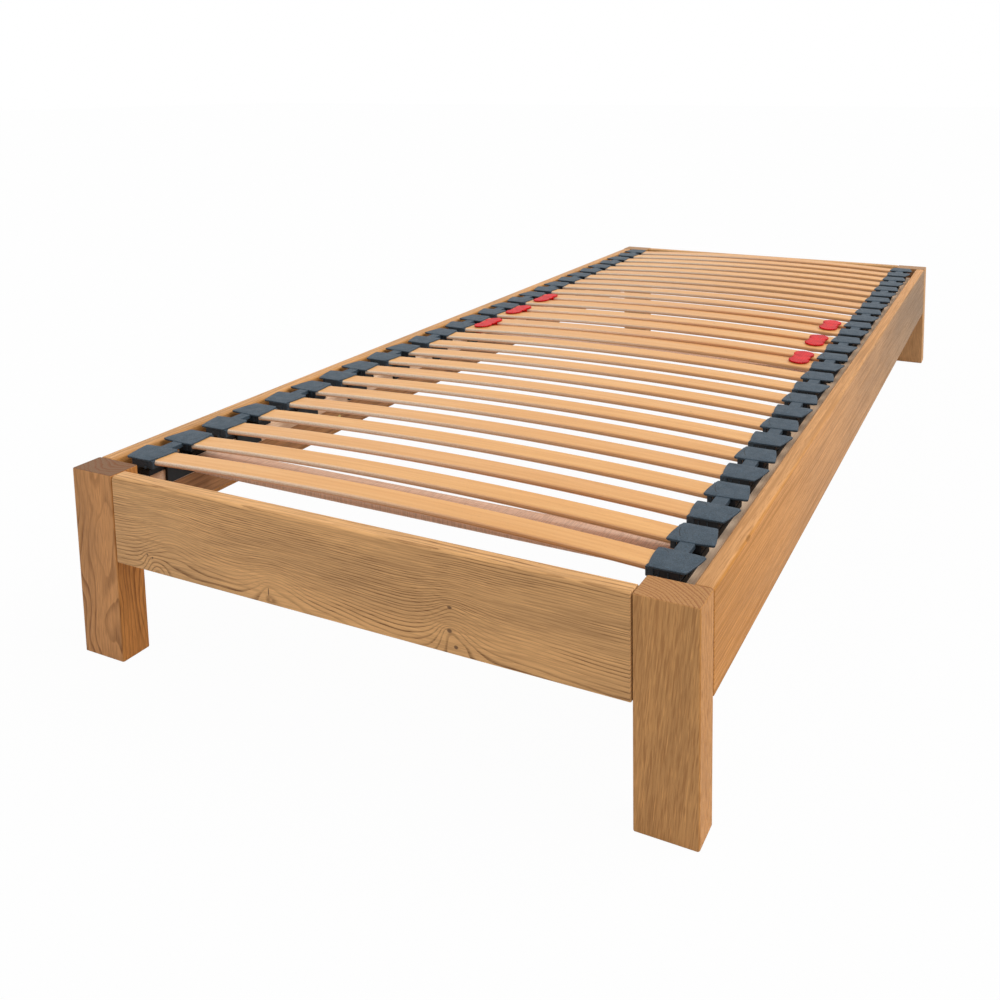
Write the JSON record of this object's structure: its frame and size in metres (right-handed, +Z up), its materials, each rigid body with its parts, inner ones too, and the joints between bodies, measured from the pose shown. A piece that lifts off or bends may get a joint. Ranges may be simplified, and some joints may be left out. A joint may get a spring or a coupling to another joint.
{
  "type": "wooden bed frame",
  "caption": "Low single bed frame of solid wood with block legs and four rails, and a sprung base of arched slats in rocking double caps with sliding stiffness adjusters.",
  "frame": {"origin": "on the floor, below the middle of the bed's outer rectangle", "axes": "+X across the bed, to the right when seen from the foot end; +Y from the foot end to the head end; +Z up"},
  "size_m": [0.97, 2.07, 0.2955],
  "materials": {
    "oak": "oiled solid oak with an open straight and cathedral grain",
    "oak_ledge": "planed oak batten, darker and matt",
    "beech": "planed beech, pale and slightly pink",
    "slat_beech": "laminated beech with a smooth lacquered face",
    "cap_blue_grey": "slate blue-grey elastomer with a fine leathery grain",
    "black_plastic": "black moulded plastic",
    "slider_red": "red moulded plastic with a dimpled top",
    "steel": "bright zinc-plated steel",
    "zinc_screw": "yellow zinc-plated steel"
  },
  "bodies": {
    "frame": {"leg_foot_left": "oak", "leg_foot_right": "oak", "leg_head_left": "oak", "leg_head_right": "oak", "foot_rail": "oak", "head_rail": "oak", "left_rail": "oak", "right_rail": "oak", "left_ledge": "oak_ledge", "right_ledge": "oak_ledge", "left_side_bar": "beech", "right_side_bar": "beech", "foot_crossbar": "beech", "middle_crossbar": "beech", "head_crossbar": "beech", "left_cap_holders": "black_plastic", "right_cap_holders": "black_plastic", "pivot_pins": "steel", "frame_dowels": "beech", "rail_hook_plates": "steel", "leg_slot_plates": "steel", "plate_screws": "zinc_screw", "ledge_screws": "zinc_screw"},
    "pair_01": {"slats_01": "slat_beech", "caps_01": "cap_blue_grey"},
    "pair_02": {"slats_02": "slat_beech", "caps_02": "cap_blue_grey"},
    "pair_03": {"slats_03": "slat_beech", "caps_03": "cap_blue_grey"},
    "pair_04": {"slats_04": "slat_beech", "caps_04": "cap_blue_grey"},
    "pair_05": {"slats_05": "slat_beech", "caps_05": "cap_blue_grey"},
    "pair_06": {"slats_06": "slat_beech", "caps_06": "cap_blue_grey"},
    "pair_07": {"slats_07": "slat_beech", "caps_07": "cap_blue_grey", "third_slat_07": "slat_beech"},
    "pair_08": {"slats_08": "slat_beech", "caps_08": "cap_blue_grey", "third_slat_08": "slat_beech"},
    "pair_09": {"slats_09": "slat_beech", "caps_09": "cap_blue_grey", "third_slat_09": "slat_beech"},
    "pair_10": {"slats_10": "slat_beech", "caps_10": "cap_blue_grey"},
    "pair_11": {"slats_11": "slat_beech", "caps_11": "cap_blue_grey"},
    "pair_12": {"slats_12": "slat_beech", "caps_12": "cap_blue_grey"},
    "pair_13": {"slats_13": "slat_beech", "caps_13": "cap_blue_grey"},
    "pair_14": {"slats_14": "slat_beech", "caps_14": "cap_blue_grey"},
    "sliding_left_07": {"slider_left_07": "slider_red"},
    "sliding_right_07": {"slider_right_07": "slider_red"},
    "sliding_left_08": {"slider_left_08": "slider_red"},
    "sliding_right_08": {"slider_right_08": "slider_red"},
    "sliding_left_09": {"slider_left_09": "slider_red"},
    "sliding_right_09": {"slider_right_09": "slider_red"}
  },
  "joints": [
    {"name": "pair_01_rock", "type": "hinge", "parent": "frame", "child": "pair_01", "pos_m": [0, -0.914, 0.2685], "axis": [1, 0, 0], "range_deg": [-3, 3], "stiffness_Nm_per_rad": 4},
    {"name": "pair_02_rock", "type": "hinge", "parent": "frame", "child": "pair_02", "pos_m": [0, -0.77338, 0.2685], "axis": [1, 0, 0], "range_deg": [-3, 3], "stiffness_Nm_per_rad": 4},
    {"name": "pair_03_rock", "type": "hinge", "parent": "frame", "child": "pair_03", "pos_m": [0, -0.63277, 0.2685], "axis": [1, 0, 0], "range_deg": [-3, 3], "stiffness_Nm_per_rad": 4},
    {"name": "pair_04_rock", "type": "hinge", "parent": "frame", "child": "pair_04", "pos_m": [0, -0.49215, 0.2685], "axis": [1, 0, 0], "range_deg": [-3, 3], "stiffness_Nm_per_rad": 4},
    {"name": "pair_05_rock", "type": "hinge", "parent": "frame", "child": "pair_05", "pos_m": [0, -0.35154, 0.2685], "axis": [1, 0, 0], "range_deg": [-3, 3], "stiffness_Nm_per_rad": 4},
    {"name": "pair_06_rock", "type": "hinge", "parent": "frame", "child": "pair_06", "pos_m": [0, -0.21092, 0.2685], "axis": [1, 0, 0], "range_deg": [-3, 3], "stiffness_Nm_per_rad": 4},
    {"name": "pair_07_rock", "type": "hinge", "parent": "frame", "child": "pair_07", "pos_m": [0, -0.07031, 0.2685], "axis": [1, 0, 0], "range_deg": [-3, 3], "stiffness_Nm_per_rad": 4},
    {"name": "pair_08_rock", "type": "hinge", "parent": "frame", "child": "pair_08", "pos_m": [0, 0.07031, 0.2685], "axis": [1, 0, 0], "range_deg": [-3, 3], "stiffness_Nm_per_rad": 4},
    {"name": "pair_09_rock", "type": "hinge", "parent": "frame", "child": "pair_09", "pos_m": [0, 0.21092, 0.2685], "axis": [1, 0, 0], "range_deg": [-3, 3], "stiffness_Nm_per_rad": 4},
    {"name": "pair_10_rock", "type": "hinge", "parent": "frame", "child": "pair_10", "pos_m": [0, 0.35154, 0.2685], "axis": [1, 0, 0], "range_deg": [-3, 3], "stiffness_Nm_per_rad": 4},
    {"name": "pair_11_rock", "type": "hinge", "parent": "frame", "child": "pair_11", "pos_m": [0, 0.49215, 0.2685], "axis": [1, 0, 0], "range_deg": [-3, 3], "stiffness_Nm_per_rad": 4},
    {"name": "pair_12_rock", "type": "hinge", "parent": "frame", "child": "pair_12", "pos_m": [0, 0.63277, 0.2685], "axis": [1, 0, 0], "range_deg": [-3, 3], "stiffness_Nm_per_rad": 4},
    {"name": "pair_13_rock", "type": "hinge", "parent": "frame", "child": "pair_13", "pos_m": [0, 0.77338, 0.2685], "axis": [1, 0, 0], "range_deg": [-3, 3], "stiffness_Nm_per_rad": 4},
    {"name": "pair_14_rock", "type": "hinge", "parent": "frame", "child": "pair_14", "pos_m": [0, 0.914, 0.2685], "axis": [1, 0, 0], "range_deg": [-3, 3], "stiffness_Nm_per_rad": 4},
    {"name": "slider_left_07_slide", "type": "slide", "parent": "pair_07", "child": "sliding_left_07", "axis": [0.9988, 0, 0.0491], "range_m": [-0.004, 0.08]},
    {"name": "slider_right_07_slide", "type": "slide", "parent": "pair_07", "child": "sliding_right_07", "axis": [-0.9988, 0, 0.0491], "range_m": [-0.004, 0.08]},
    {"name": "slider_left_08_slide", "type": "slide", "parent": "pair_08", "child": "sliding_left_08", "axis": [0.9988, 0, 0.0491], "range_m": [-0.004, 0.08]},
    {"name": "slider_right_08_slide", "type": "slide", "parent": "pair_08", "child": "sliding_right_08", "axis": [-0.9988, 0, 0.0491], "range_m": [-0.004, 0.08]},
    {"name": "slider_left_09_slide", "type": "slide", "parent": "pair_09", "child": "sliding_left_09", "axis": [0.9988, 0, 0.0491], "range_m": [-0.004, 0.08]},
    {"name": "slider_right_09_slide", "type": "slide", "parent": "pair_09", "child": "sliding_right_09", "axis": [-0.9988, 0, 0.0491], "range_m": [-0.004, 0.08]}
  ]
}
